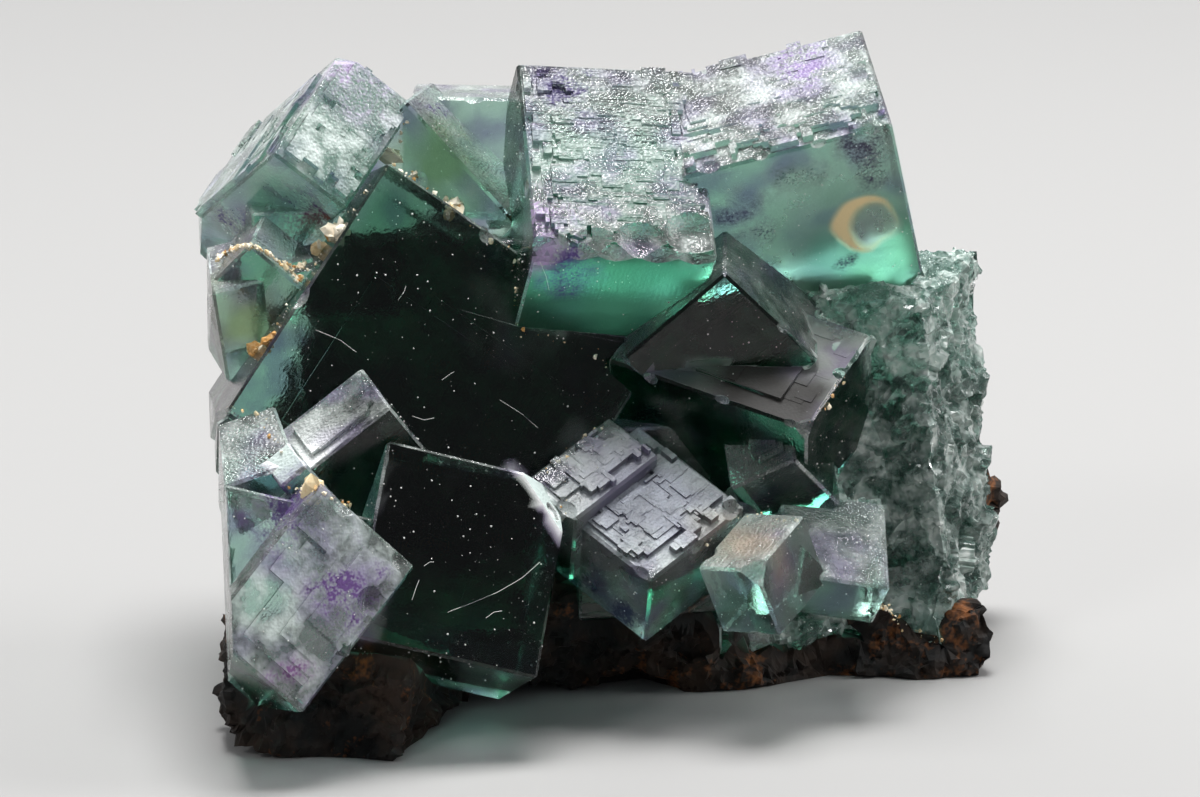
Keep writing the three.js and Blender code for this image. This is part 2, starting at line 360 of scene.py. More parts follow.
def combine(mesh, operation, others):
    """A mesh joined with, or cut by, many closed meshes at once."""
    group = bpy.data.collections.new("others")
    for other in others:
        group.objects.link(bpy.data.objects.new("other", other))
    carrier = add_object("carrier", mesh)
    step = carrier.modifiers.new("step", "BOOLEAN")
    step.operand_type = "COLLECTION"
    step.collection = group
    step.operation = operation
    step.solver = "MANIFOLD"
    result = bpy.data.meshes.new_from_object(carrier.evaluated_get(bpy.context.evaluated_depsgraph_get()))
    bpy.data.objects.remove(carrier)
    for other in list(group.objects):
        bpy.data.objects.remove(other)
    bpy.data.collections.remove(group)
    return result


random = np.random.default_rng(GROWTH_SEED)
plates = [plate for face in STEPPED_FACES.values() for plate in plates_on(face, random)]
stepped = bpy.data.meshes.new("stepped")
solid.to_mesh(stepped)
stepped = combine(stepped, "UNION", plates)
print("Plates:", len(plates), "- faces now:", len(stepped.polygons))

# %% [markdown]
# ## Worn edges
#
# No edge of a natural crystal stays perfectly sharp. It is bruised to a narrow whitish rim that catches the
# light, and those rims draw the outlines of the cubes. Their white, set further down, is partly that bruising
# and partly a painted highlight along the edges. A bevel would stumble over the many crossings of the
# crystals, so each long cube edge is planed by a thin straight bar instead, in the same boolean as the chips
# further down.

# %% Bars that plane the long edges
RIM_LENGTH = 1.2 * MM
RIM_WIDTH = 0.5 * MM
RIM_DEPTH = (0.025, 0.07)
RIM_BAR = 0.3 * MM
RIM_END = 0.12 * MM
SQUARE_TURN = 0.35

bars, bar_points, bar_faces = [], [], []
for edge in solid.edges:
    one, two = edge.link_faces
    line = edge.verts[1].co - edge.verts[0].co
    convex = (two.calc_center_median() - one.calc_center_median()).dot(one.normal) < 0
    wide = min(2 * face.calc_area() / line.length for face in (one, two)) > RIM_WIDTH
    if convex and wide and abs(one.normal.dot(two.normal)) < SQUARE_TURN and line.length > RIM_LENGTH:
        outward = (one.normal + two.normal).normalized()
        along = line.normalized()
        lift = RIM_BAR / 2 - random.uniform(*RIM_DEPTH) * MM
        middle = (edge.verts[0].co + edge.verts[1].co) / 2 + outward * lift
        lengths = (line.length - 2 * RIM_END, RIM_BAR, RIM_BAR)
        bar = block((along, outward.cross(along), outward), lengths, middle)
        bar_faces += [[len(bar_points) + i for i in face.vertices] for face in bar.polygons]
        bar_points += [vert.co.copy() for vert in bar.vertices]
        bars.append(bar)
rim_tree = BVHTree.FromPolygons(bar_points, bar_faces)
print("Edges planed:", len(bars))

# %% [markdown]
# ## Chips
#
# Fluorite cleaves and chips easily, so handling knocks small shells out of its edges. A ball that dips into
# an edge leaves just such a shell. The bruised lower edge of the top centre crystal has a row of them, and
# the other edges have a few, at places taken from the photo.

# %% Shells knocked out of the edges
CHIP_SPREAD = (0.75, 1.25)
CHIP_TO_EYE = 0.6
CHIP_SCATTER = 0.25
BALL_ROUNDS = 4
CHIPS = {
    "bruised edge": dict(pixels=[(552, 244), (600, 240), (646, 246), (690, 240)], radius=2.4, bite=0.3),
    "top centre, left": dict(pixels=[(517, 90), (520, 150), (526, 190)], radius=0.7, bite=0.16),
    "centre, right edge": dict(pixels=[(418, 181), (455, 207), (486, 234)], radius=0.6, bite=0.14),
    "front left tip": dict(pixels=[(400, 560), (372, 597), (345, 505)], radius=0.9, bite=0.16),
    "top right edge": dict(pixels=[(705, 167), (760, 156), (820, 142), (872, 130)], radius=0.7, bite=0.14),
    "lavender rim": dict(pixels=[(565, 505), (640, 572), (700, 545), (735, 512)], radius=0.8, bite=0.18),
    "ledge rim": dict(pixels=[(650, 380), (720, 400), (790, 424), (840, 372)], radius=0.6, bite=0.14),
}


def ball(centre, radius):
    """A fine round ball, as a mesh."""
    skin = bmesh.new()
    bmesh.ops.create_icosphere(skin, subdivisions=BALL_ROUNDS, radius=radius)
    bmesh.ops.translate(skin, vec=centre, verts=skin.verts)
    return mesh_from(skin, "ball")


shells = []
for chip in CHIPS.values():
    for pixel in chip["pixels"]:
        spot, out = spot_on(pixel)
        if spot:
            radius = chip["radius"] * MM * random.uniform(*CHIP_SPREAD)
            outward = (out - forward * CHIP_TO_EYE + Vector(random.normal(0, CHIP_SCATTER, 3))).normalized()
            shells.append(ball(spot + outward * (radius - chip["bite"] * MM), radius))
chipped = combine(stepped, "DIFFERENCE", shells + bars)
print("Chips:", len(shells), "- faces now:", len(chipped.polygons))

# %% [markdown]
# ## The broken side
#
# The right side was broken off a larger piece. Such a break is a mass of small cleavage facets that glitter.
# The solids hold the largest. Here they are split until no edge is longer than a third of a millimetre, and
# each point is pushed in or out by a rule that gives flat, tilted patches: space is parted into cells, and
# every cell has a slope and a height of its own. Plain noise would give soft hills, which no cleavage has.

# %% Helpers that split a skin and push it about
CELL_SLOPE = 1.4
CELL_STEP = 0.6
SLOPE_SEED = 3.7
STEP_SEED = 2.9
NOISE_SEED = 7

# Without a seed this noise starts from the clock, and each run would break differently.
noise.seed_set(NOISE_SEED)


def refine(skin, mark, longest, rounds):
    """Halves the edges of the marked faces that are longer than the given length, round after round."""
    for _ in range(rounds):
        edges = [edge for edge in skin.edges if edge.calc_length() > longest
                 and any(face[mark] for face in edge.link_faces)]
        bmesh.ops.subdivide_edges(skin, edges=edges, cuts=1)
        bmesh.ops.triangulate(skin, faces=[face for face in skin.faces if len(face.verts) > 3])
        print("Split", len(edges), "edges,", len(skin.faces), "faces")


def facet_relief(point, cells):
    """A height made of flat, tilted patches with sharp steps between them, at several sizes."""
    height = 0.0
    for size, reach in cells:
        middle = noise.voronoi(point / size)[1][0]
        tilt = (point / size - middle).dot(noise.noise_vector(middle * SLOPE_SEED))
        height += reach * (tilt * CELL_SLOPE + noise.noise(middle * STEP_SEED) * CELL_STEP)
    return height


def direction_key(normal, steps):
    """Faces that look the same way, to within one of the steps, share this key."""
    return tuple(round(c * steps) for c in normal)


print("Cells add", CELL_SLOPE, "of slope and", CELL_STEP, "of step")

# %% Which faces are broken
BREAK_BOX = (Vector((8.5, -2.5, 0.6)) * MM, Vector((21.6, 14.0, 20.6)) * MM)
BREAK_EDGE = 0.3 * MM
BREAK_FACET = 4.0 * MM ** 2
BREAK_ISLAND = 8.0 * MM ** 2
BREAK_CELLS = [(2.2 * MM, 0.75 * MM), (1.0 * MM, 0.36 * MM), (0.5 * MM, 0.16 * MM)]
FACET_STEPS = 60

skin = bmesh.new()
skin.from_mesh(chipped)
bmesh.ops.triangulate(skin, faces=skin.faces)
bmesh.ops.remove_doubles(skin, verts=skin.verts, dist=SAME_POINT)
facet_area = {}
for face in skin.faces:
    key = direction_key(face.normal, FACET_STEPS)
    facet_area[key] = facet_area.get(key, 0) + face.calc_area()
broken = skin.faces.layers.int.new("broken")
for face in skin.faces:
    middle = face.calc_center_median()
    inside = all(BREAK_BOX[0][i] < middle[i] < BREAK_BOX[1][i] for i in range(3))
    small = facet_area[direction_key(face.normal, FACET_STEPS)] < BREAK_FACET
    face[broken] = int(inside and small)
whole = {face for face in skin.faces if not face[broken]}
while whole:
    island, rim = set(), [whole.pop()]
    while rim:
        island.add(rim[-1])
        beside = {face for edge in rim.pop().edges for face in edge.link_faces} & whole
        whole -= beside
        rim.extend(beside)
    if sum(face.calc_area() for face in island) < BREAK_ISLAND:
        for face in island:
            face[broken] = 1
print("Broken faces:", sum(face[broken] for face in skin.faces))

# %% Fracture on the broken faces
refine(skin, broken, BREAK_EDGE, rounds=4)
skin.normal_update()
moves = {}
for vert in skin.verts:
    if all(face[broken] for face in vert.link_faces):
        moves[vert] = vert.normal * facet_relief(vert.co, BREAK_CELLS)
for vert, move in moves.items():
    vert.co += move
print("Broken side:", len(moves), "points moved,", len(skin.faces), "faces in all")

# %% [markdown]
# ## Growth directions and finishes of the faces
#
# Each flat face gets a map of its own, in millimetres along and across its crystal, so that striations and
# etched squares follow the cube. The rule is simple: the sharp edges of a face vote for its direction,
# modulo a quarter turn. The finish of a face also follows a rule that the specimen shows: faces that look up
# are etched and silvery, those that look down or at the camera are glassy, and a chip is whitish. The silver
# of the faces that look up is partly frost and partly a painted sheen, a pale milk in their colour that stands
# for the overhead light they mirror. A few faces differ, and are named.

# %% Face map, and the finish that the direction of a face gives
FACE_STEPS = 40
ETCHED_ABOVE = 0.6
ETCHED_FADE = 0.1
# Milk on faces that look up: partly frost, partly a painted sheen of the overhead light.
FROST_AND_SHEEN_MILK = 0.2
CHIP_AREA = 1.2 * MM ** 2
CHIP = dict(etched=0.7, milk_and_sheen=0.3)

uv = skin.loops.layers.uv.new("growth")
etched = skin.faces.layers.float.new("etched")
milk_and_sheen = skin.faces.layers.float.new("milk_and_sheen")
groups = {}
for face in skin.faces:
    groups.setdefault(direction_key(face.normal, FACE_STEPS), []).append(face)
for faces in groups.values():
    out = max(faces, key=lambda face: face.calc_area()).normal
    first = out.orthogonal().normalized()
    second = out.cross(first)
    vote = 0
    for line in sharp_lines(faces):
        vote += complex(line.dot(first), line.dot(second)) ** 4 / max(line.length, SAME_POINT) ** 3
    angle = np.angle(vote) / 4
    along = first * cos(angle) + second * sin(angle)
    across = out.cross(along)
    chip = sum(face.calc_area() for face in faces) < CHIP_AREA
    for face in faces:
        upward_share = max(0.0, min(1.0, (out.z - ETCHED_ABOVE) / ETCHED_FADE))
        face[etched] = CHIP["etched"] if chip else upward_share
        face[milk_and_sheen] = CHIP["milk_and_sheen"] if chip and not face[broken] else FROST_AND_SHEEN_MILK * face[etched]
        for loop in face.loops:
            loop[uv].uv = (loop.vert.co.dot(along) / MM, loop.vert.co.dot(across) / MM)
print("Faces of their own direction:", len(groups))

# %% Faces with a finish of their own
RIM_TOUCH = 0.002 * MM
# Rims: partly bruised white, partly a painted highlight along the edges.
RIM_WEAR_AND_HIGHLIGHT = dict(etched=0.7, milk_and_sheen=0.8)
# On faces that look up, such as top centre, top right and lavender, the milk is partly frost and partly a
# painted sheen.
NAMED_FACES = {
    "top left upper": dict(pixel=(330, 130), etched=0.6, milk_and_sheen=0.65),
    "top left side": dict(pixel=(262, 130), etched=0.5, milk_and_sheen=0.55),
    "top left front": dict(pixel=(300, 200), etched=0.2, milk_and_sheen=0.25),
    "front left": dict(pixel=(290, 590), etched=0.3, milk_and_sheen=0.6),
    "front left low": dict(pixel=(250, 640), etched=0.3, milk_and_sheen=0.5),
    "stepped": dict(pixel=(330, 440), etched=0.8, milk_and_sheen=0.3),
    # The next two faces are made flat white: a painted highlight where they mirror a lamp.
    "cleaved corner with painted highlight": dict(pixel=(534, 484), etched=0.8, milk_and_sheen=2.4),
    "chip with painted highlight": dict(pixel=(281, 466), etched=0.6, milk_and_sheen=2.6),
    "lavender": dict(pixel=(660, 520), etched=1.0, milk_and_sheen=0.4),
    "lavender back": dict(pixel=(585, 470), etched=0.5, milk_and_sheen=0.25),
    "ledge": dict(pixel=(790, 400), etched=0.15, milk_and_sheen=0.0),
    "top right": dict(pixel=(800, 100), etched=1.0, milk_and_sheen=0.42),
    "top centre": dict(pixel=(620, 160), etched=1.0, milk_and_sheen=0.3),
}

for named in NAMED_FACES.values():
    spot, out = spot_on(named["pixel"])
    for face in skin.faces:
        if same_face(face, spot, out):
            face[etched] = named["etched"]
            face[milk_and_sheen] = named["milk_and_sheen"]
rims = [face for face in skin.faces if rim_tree.find_nearest(face.calc_center_median(), RIM_TOUCH)[0]]
for face in rims:
    face[etched] = RIM_WEAR_AND_HIGHLIGHT["etched"]
    face[milk_and_sheen] = RIM_WEAR_AND_HIGHLIGHT["milk_and_sheen"]
print("Named faces:", len(NAMED_FACES), "- rim faces:", len(rims))

# %% [markdown]
# ## Colour zones
#
# The solution that fluorite grows from changes, and the colour changes with it: green in depth, lilac and
# violet in clouds, olive where clay is near, and on the top right crystal a film of ochre around an
# inclusion. Each zone is a soft ball around a point, named by its photo pixel and bent by noise. Its colour
# is stored on the points of the skin, which is split finely enough for it, so the material only has to read
# it and break it up.

# %% Zones and patches
DEEP_ZONES = {
    "deep green, centre": dict(pixel=(392, 225), radius=5.5, colour="#4d7a63", milk=0.0),
    "olive green, behind": dict(pixel=(445, 160), radius=4.0, colour="#7a8f62", milk=0.04),
    "olive, left": dict(pixel=(245, 320), radius=4.0, colour="#9a9a68", milk=0.12),
    "deep teal, top left": dict(pixel=(270, 205), radius=3.4, colour="#6f9a88", milk=0.08),
    "deep green, top centre": dict(pixel=(540, 310), radius=3.4, colour="#5f9a7e", milk=0.05),
    "green, top centre": dict(pixel=(610, 290), radius=14.0, colour="#38725a", milk=0.34, flat=True),
    "green, top right": dict(pixel=(870, 255), radius=8.0, colour="#5f9479", milk=0.4, flat=True),
    "dark diamond": dict(pixel=(725, 335), radius=4.6, colour="#4f8a70", milk=0.0),
    # A near-black milky coat on the ledge under the overhanging crystals: painted shade.
    "painted shade on ledge": dict(pixel=(760, 402), radius=8.0, colour="#2b2927", milk=0.85, flat=True),
    # The lavender face's milk is partly frost and partly a painted sheen.
    "lavender face": dict(pixel=(640, 500), radius=5.5, colour="#8f8aa6", milk=0.35),
    "pale brown, low": dict(pixel=(392, 664), radius=1.8, colour="#b9a89c", milk=0.35),
    "pinkish, right": dict(pixel=(742, 545), radius=3.4, colour="#b3937d", milk=0.3),
    "yellow corner": dict(pixel=(930, 628), radius=2.6, colour="#aaa25e", milk=0.4),
    # The next two zones are white: painted highlights on faces that mirror a lamp.
    "painted highlight on chip": dict(pixel=(281, 466), radius=5.0, colour="#ffffff", milk=0.8, flat=True),
    "painted highlight on cleavage": dict(pixel=(534, 484), radius=7.0, colour="#ffffff", milk=0.8, flat=True),
}
PATCHES = {
    "violet, top left low": dict(pixel=(240, 222), radius=2.4, colour="#40386e"),
    "violet, top left mid": dict(pixel=(300, 205), radius=2.2, colour="#54406e"),
    "rust spot": dict(pixel=(307, 226), radius=1.0, colour="#6e3218"),
    "lilac crest, top left": dict(pixel=(350, 85), radius=2.8, colour="#b3a4c2"),
    "violet, behind": dict(pixel=(430, 104), radius=1.6, colour="#33205c"),
    "violet, green face": dict(pixel=(570, 275), radius=1.9, colour="#4c3a7a"),
    "lavender fringe": dict(pixel=(548, 222), radius=2.6, colour="#b29cc4"),
    "violet, top centre": dict(pixel=(560, 90), radius=2.6, colour="#4a4468"),
    "violet streak": dict(pixel=(738, 203), radius=1.3, colour="#3d2462"),
    "violet streak low": dict(pixel=(760, 236), radius=1.2, colour="#3d2462"),
    "violet patch": dict(pixel=(868, 146), radius=2.0, colour="#271a40"),
    "violet patch low": dict(pixel=(866, 178), radius=1.2, colour="#271a40"),
    "violet cloud": dict(pixel=(795, 175), radius=1.8, colour="#4d6468"),
    "violet spot": dict(pixel=(845, 266), radius=1.1, colour="#271a40"),
    "violet bumps": dict(pixel=(800, 64), radius=3.0, colour="#85739f"),
    "violet, front left": dict(pixel=(350, 605), radius=3.0, colour="#6a4f86"),
    "violet, front left top": dict(pixel=(285, 515), radius=3.4, colour="#5d4a7c"),
    "violet, front left low": dict(pixel=(290, 680), radius=2.2, colour="#7d5a86"),
    "violet underside": dict(pixel=(620, 605), radius=3.0, colour="#34345c"),
}
print("Zones:", len(DEEP_ZONES), "- patches:", len(PATCHES))

# %% A finer skin for them
ZONE_EDGE = 0.95 * MM
FILM_EDGE = 0.2 * MM
FILM_AROUND = 1.5
INCLUSION = dict(pixel=(864, 224), radius=1.9 * MM, hollow=1.6 * MM, shift=(0.45, 0, -0.2))

film_spot, _ = spot_on(INCLUSION["pixel"])
fine = skin.faces.layers.int.new("fine")
for face in skin.faces:
    face[fine] = int(not face[broken])
refine(skin, fine, ZONE_EDGE, rounds=4)
for face in skin.faces:
    face[fine] = int((face.calc_center_median() - film_spot).length < FILM_AROUND * INCLUSION["radius"])
refine(skin, fine, FILM_EDGE, rounds=3)
crystal_mesh = mesh_from(skin, "fluorite_cluster")
print("Cluster:", len(crystal_mesh.polygons), "faces")

# %% Masks on the points of the skin
WARP_SIZE = 1.7 * MM
FLAT_TURN = 0.97

points = np.empty(3 * len(crystal_mesh.vertices))
crystal_mesh.attributes["position"].data.foreach_get("vector", points)
points = points.reshape(-1, 3)
sway = np.array([noise.noise_vector(Vector(point) / WARP_SIZE) for point in points])
corners = np.empty(len(crystal_mesh.loops), dtype=np.int32)
crystal_mesh.loops.foreach_get("vertex_index", corners)
facing = np.empty(3 * len(crystal_mesh.polygons))
crystal_mesh.polygon_normals.foreach_get("vector", facing)
facing = facing.reshape(-1, 3)


def in_ball(middle, radius, softness, reach):
    """For each point of the skin, 1 well inside a swayed ball and 0 outside it."""
    far = np.linalg.norm(points + sway * reach - np.array(middle), axis=1)
    return np.clip((1 - far / radius) / softness, 0, 1)[:, None]


def on_face(out):
    """For each point of the skin, whether it belongs to a face that looks the given way."""
    best = np.full(len(points), -1.0)
    np.maximum.at(best, corners, np.repeat(facing @ np.array(out), 3))
    return best[:, None] > FLAT_TURN


def laid_over(below, mask, above):
    """Two layers of values, the upper one where the mask is 1."""
    return below * (1 - mask) + np.array(above) * mask


print("Points:", len(points))

# %% Colours on the points of the skin
GLASS = "#eef6f1"
LILAC = "#b5a6cd"
LILAC_FROM = 0.02
LILAC_SPAN = 0.3
WARP_REACH = 1.3 * MM
ZONE_SOFT = 0.7
PATCH_SOFT = 0.6
TINY = 1e-6

lilac = np.clip((sway[:, 2:] - LILAC_FROM) / LILAC_SPAN, 0, 1)
tint = laid_over(np.array(linear(GLASS)), lilac, linear(LILAC))
haze = np.zeros((len(points), 1))
patch = np.zeros((len(points), 4))
for zone in DEEP_ZONES.values():
    spot, out = spot_on(zone["pixel"])
    mask = in_ball(spot, zone["radius"] * MM, ZONE_SOFT, WARP_REACH)
    if "flat" in zone:
        mask *= on_face(out)
    tint = laid_over(tint, mask, linear(zone["colour"]))
    haze = laid_over(haze, mask, zone["milk"])
for zone in PATCHES.values():
    mask = in_ball(spot_on(zone["pixel"])[0], zone["radius"] * MM, PATCH_SOFT, WARP_REACH)
    patch = laid_over(patch, mask, linear(zone["colour"]))
patch[:, :3] /= np.maximum(patch[:, 3:], TINY)
print("Points in a patch:", int((patch[:, 3] > 0).sum()))

# %% The ochre film, and the attributes
FILM_SWAY = 0.4 * MM
FILM_SOFT = 0.14
HOLLOW_SOFT = 0.3
FILM = dict(colour="#f6d9a4", milk=0.9)
INSIDE = dict(colour="#a39d94", milk=0.2)

whole = in_ball(film_spot, INCLUSION["radius"], FILM_SOFT, FILM_SWAY)
hollow_spot = film_spot + Vector(INCLUSION["shift"]) * MM
hollow = in_ball(hollow_spot, INCLUSION["hollow"], HOLLOW_SOFT, FILM_SWAY)
for mask, layer in ((hollow, INSIDE), (np.clip(whole - hollow, 0, 1), FILM)):
    tint = laid_over(tint, mask, linear(layer["colour"]))
    haze = laid_over(haze, mask, layer["milk"])
for name, rows in (("tint", tint[:, :3]), ("patch", patch[:, :3]), ("patched", patch[:, 3:]), ("haze", haze)):
    kind, key = ("FLOAT", "value") if rows.shape[1] == 1 else ("FLOAT_VECTOR", "vector")
    crystal_mesh.attributes.new(name, kind, "POINT").data.foreach_set(key, rows.ravel())
print("Attributes:", ", ".join(crystal_mesh.attributes.keys()))

# %% [markdown]
# ## Fluorite
#
# Fluorite is clear, with a low index of refraction, and its green is the colour of its whole depth: a thin
# corner is pale, a thick crystal is nearly black. So the colour is an absorption value, and the surface
# adds what lies on or just under it: violet zones, whitish veils, the ochre rim of an inclusion, etched
# squares. Its milk also holds painted light: a painted sheen on faces that look up, painted highlights on a
# few white faces and painted shade on a dark ledge.

# %% Surface colour of the fluorite
VEIL_SIZE = 1.8 * MM
MOTTLE_SIZE = 0.13 * MM

# Natural cube faces: glassy where they are whole, silvery where they are etched, clouded in veils.
# Their silver is partly frost and partly painted sheen; a few faces hold a painted highlight or painted shade.
fluorite, tree, output = new_material("fluorite, natural cube faces")
place = add(tree, "ShaderNodeTexCoord").outputs["Object"]
values = {name: add(tree, "ShaderNodeAttribute", attribute_name=name).outputs["Fac"]
          for name in ("etched", "milk_and_sheen", "broken", "haze", "patched")}
colours = {name: add(tree, "ShaderNodeAttribute", attribute_name=name).outputs["Vector"]
           for name in ("tint", "patch")}
cloud = add(tree, "ShaderNodeTexNoise", {"Vector": place, "Scale": 1 / VEIL_SIZE, "Detail": 3.0,
                                         "Roughness": 0.7})
veil = add(tree, "ShaderNodeMapRange", {"Value": cloud.outputs["Fac"], "From Min": 0.42,
                                        "From Max": 0.66}).outputs["Result"]
# The milk colour: frost, bruising and chips, and in places a painted sheen or a painted highlight.
colour = add(tree, "ShaderNodeMix", {"Factor": values["milk_and_sheen"], 6: colours["tint"], 7: linear("#c3d0cc")},
             data_type="RGBA").outputs[2]
cleaved = add(tree, "ShaderNodeMix", {"Factor": veil, 6: linear("#93b5aa"), 7: linear("#d6dcd7")},
              data_type="RGBA").outputs[2]
colour = add(tree, "ShaderNodeMix", {"Factor": values["broken"], 6: colour, 7: cleaved},
             data_type="RGBA").outputs[2]
grain = add(tree, "ShaderNodeTexNoise", {"Vector": place, "Scale": 1 / MOTTLE_SIZE,
                                         "Detail": 0.0}).outputs["Fac"]
mottled = add(tree, "ShaderNodeMath", {0: grain, 1: 1.3, 2: -0.3}, operation="MULTIPLY_ADD").outputs[0]
broken_up = add(tree, "ShaderNodeMath", {0: veil, 1: 0.9, 2: mottled}, operation="MULTIPLY_ADD").outputs[0]
spotted = add(tree, "ShaderNodeMath", {0: values["patched"], 1: broken_up}, operation="MULTIPLY",
              use_clamp=True).outputs[0]
colour = add(tree, "ShaderNodeMix", {"Factor": spotted, 6: colour, 7: colours["patch"]},
             data_type="RGBA").outputs[2]
print("Surface colour:", len(tree.nodes), "nodes")

# %% Milk, relief and roughness of the fluorite
SQUARES_PER_MM = 4.6
LINES_PER_MM = (0.7, 7.0, 1.0)
ETCH_DEPTH = 0.045 * MM

uneven = add(tree, "ShaderNodeMath", {0: veil, 1: 1.1, 2: 0.35}, operation="MULTIPLY_ADD").outputs[0]
share = add(tree, "ShaderNodeMath", {0: values["broken"], 1: 0.5, 2: values["milk_and_sheen"]},
            operation="MULTIPLY_ADD").outputs[0]
milk = add(tree, "ShaderNodeMath", {0: share, 1: uneven, 2: values["haze"]},
           operation="MULTIPLY_ADD").outputs[0]
milk = add(tree, "ShaderNodeMath", {0: spotted, 1: 0.5, 2: milk}, operation="MULTIPLY_ADD",
           use_clamp=True).outputs[0]
growth = add(tree, "ShaderNodeUVMap", uv_map="growth").outputs["UV"]
squares = add(tree, "ShaderNodeTexVoronoi", {"Vector": growth, "Scale": SQUARES_PER_MM},
              distance="CHEBYCHEV", voronoi_dimensions="2D").outputs["Distance"]
drawn_out = add(tree, "ShaderNodeMapping", {"Vector": growth, "Scale": LINES_PER_MM}).outputs["Vector"]
striae = add(tree, "ShaderNodeTexNoise", {"Vector": drawn_out, "Scale": 1.0, "Detail": 1.0},
             noise_dimensions="2D").outputs["Fac"]
lined = add(tree, "ShaderNodeMath", {0: striae, 1: grain}, operation="ADD").outputs[0]
height = add(tree, "ShaderNodeMath", {0: squares, 1: lined}, operation="ADD").outputs[0]
force = add(tree, "ShaderNodeMath", {0: values["etched"], 1: 0.85, 2: 0.12},
            operation="MULTIPLY_ADD").outputs[0]
bump = add(tree, "ShaderNodeBump", {"Height": height, "Strength": force, "Distance": ETCH_DEPTH})
rough = add(tree, "ShaderNodeMath", {0: values["etched"], 1: 0.06, 2: 0.08},
            operation="MULTIPLY_ADD").outputs[0]
rough = add(tree, "ShaderNodeMath", {0: values["haze"], 1: 0.7, 2: rough},
            operation="MULTIPLY_ADD").outputs[0]
rough = add(tree, "ShaderNodeMath", {0: veil, 1: 0.16, 2: rough}, operation="MULTIPLY_ADD").outputs[0]
print("Etched squares:", SQUARES_PER_MM, "to the mm")

# %% Clear depth of the fluorite
INDEX = 1.434
DEPTH_COLOUR = "#6bc2ac"
DEPTH_DENSITY = 175

clear = add(tree, "ShaderNodeMath", {0: 1.0, 1: milk}, operation="SUBTRACT").outputs[0]
shader = add(tree, "ShaderNodeBsdfPrincipled", {
    "Base Color": colour, "Roughness": rough, "IOR": INDEX,
    "Transmission Weight": clear, "Normal": bump.outputs["Normal"]}, distribution="GGX")
depth = add(tree, "ShaderNodeVolumeAbsorption", {"Color": linear(DEPTH_COLOUR), "Density": DEPTH_DENSITY})
tree.links.new(shader.outputs["BSDF"], output.inputs["Surface"])
tree.links.new(depth.outputs["Volume"], output.inputs["Volume"])

cluster = add_object("fluorite_cluster", crystal_mesh)
crystal_mesh.materials.append(fluorite)
print("Fluorite:", len(tree.nodes), "nodes, index", INDEX)

# %% [markdown]
# ## The rock
#
# The rock is a dark crust, crumbly and stained by iron. Its solid is split into small triangles and pushed
# about by noise at three sizes. Where it faces the crystals it is drawn a little into them, as the crystals
# grew on it: that closes the clearance of the solids, and it is what makes the crystals look deep and dark.

# %% Rock mesh
ROCK_EDGE = 0.36 * MM
ROCK_LUMPS = [(2.6 * MM, 0.8 * MM), (1.2 * MM, 0.5 * MM), (0.55 * MM, 0.3 * MM)]
CONTACT = 0.9 * MM
OVERLAP = 0.15 * MM
COATED = 0.45 * MM
FADE = 0.5
GROUND = 0.05 * MM

crystal_tree = BVHTree.FromObject(cluster, bpy.context.evaluated_depsgraph_get())


def touches(point):
    """The nearest point of the crystals, if it lies within the contact distance."""
    return crystal_tree.find_nearest(point, CONTACT)


rock_skin = merged_copy("host_rock")
bare = rock_skin.faces.layers.int.new("bare")
grown = rock_skin.verts.layers.float.new("grown")
for face in rock_skin.faces:
    face[bare] = int(any(touches(vert.co)[0] is None for vert in face.verts))
refine(rock_skin, bare, ROCK_EDGE, rounds=4)
rock_skin.normal_update()
moves = []
for vert in rock_skin.verts:
    crystal, _, _, far = touches(vert.co)
    if vert.co.z < GROUND:
        moves.append(Vector())
    elif crystal is not None:
        vert[grown] = max(0.0, min(1.0, (COATED - far) / (FADE * COATED)))
        pull = min(1.0, (CONTACT - far) / (FADE * CONTACT))
        moves.append((crystal - vert.co).normalized() * (far + OVERLAP) * pull)
    else:
        moves.append(vert.normal * facet_relief(vert.co, ROCK_LUMPS))
for vert, move in zip(rock_skin.verts, moves):
    vert.co += move
    vert.co.z = max(vert.co.z, 0.0)
rock_mesh = mesh_from(rock_skin, "rust_stained_rock")
rock = add_object("rust_stained_rock", rock_mesh)
print("Rock:", len(rock_mesh.polygons), "faces")

# %% [markdown]
# ## Rock material
#
# Dark manganese and iron oxides coat the rock. Close up it is a mix of near-black, brown and rust, with a
# few paler grains, and nowhere smooth. Noise at the size of the grains mixes those colours. Under the
# crystals the rock is coated by murky green fluorite, and that is the dark green that one sees through the
# large faces.

# %% Rock material
BLOTCH_SIZE = 3.2 * MM
RUST_SIZE = 2.4 * MM
RUST_FROM = 8 * MM
RUST_TO = 20 * MM

# Weathered iron and manganese oxides: matt, near-black, with rusty blooms that grow towards the right.
rock_look, tree, output = new_material("iron-stained rock, natural fracture")
place = add(tree, "ShaderNodeTexCoord").outputs["Object"]
blotch = add(tree, "ShaderNodeTexNoise", {"Vector": place, "Scale": 1 / BLOTCH_SIZE, "Detail": 3.0,
                                          "Roughness": 0.7}).outputs["Fac"]
rust = add(tree, "ShaderNodeTexNoise", {"Vector": place, "Scale": 1 / RUST_SIZE, "Detail": 4.0,
                                        "Roughness": 0.8}).outputs["Fac"]
ramps = {}
for name, low, dark, high, light in (("browns", 0.4, "#0a0908", 0.72, "#352417"),
                                     ("murk", 0.38, "#1d5544", 0.66, "#6fb99b")):
    ramp = add(tree, "ShaderNodeValToRGB", {"Fac": blotch})
    for stop, position, tone in zip(ramp.color_ramp.elements, (low, high), (dark, light)):
        stop.position = position
        stop.color = linear(tone)
    ramps[name] = ramp.outputs["Color"]
rightward = add(tree, "ShaderNodeSeparateXYZ", {"Vector": place}).outputs["X"]
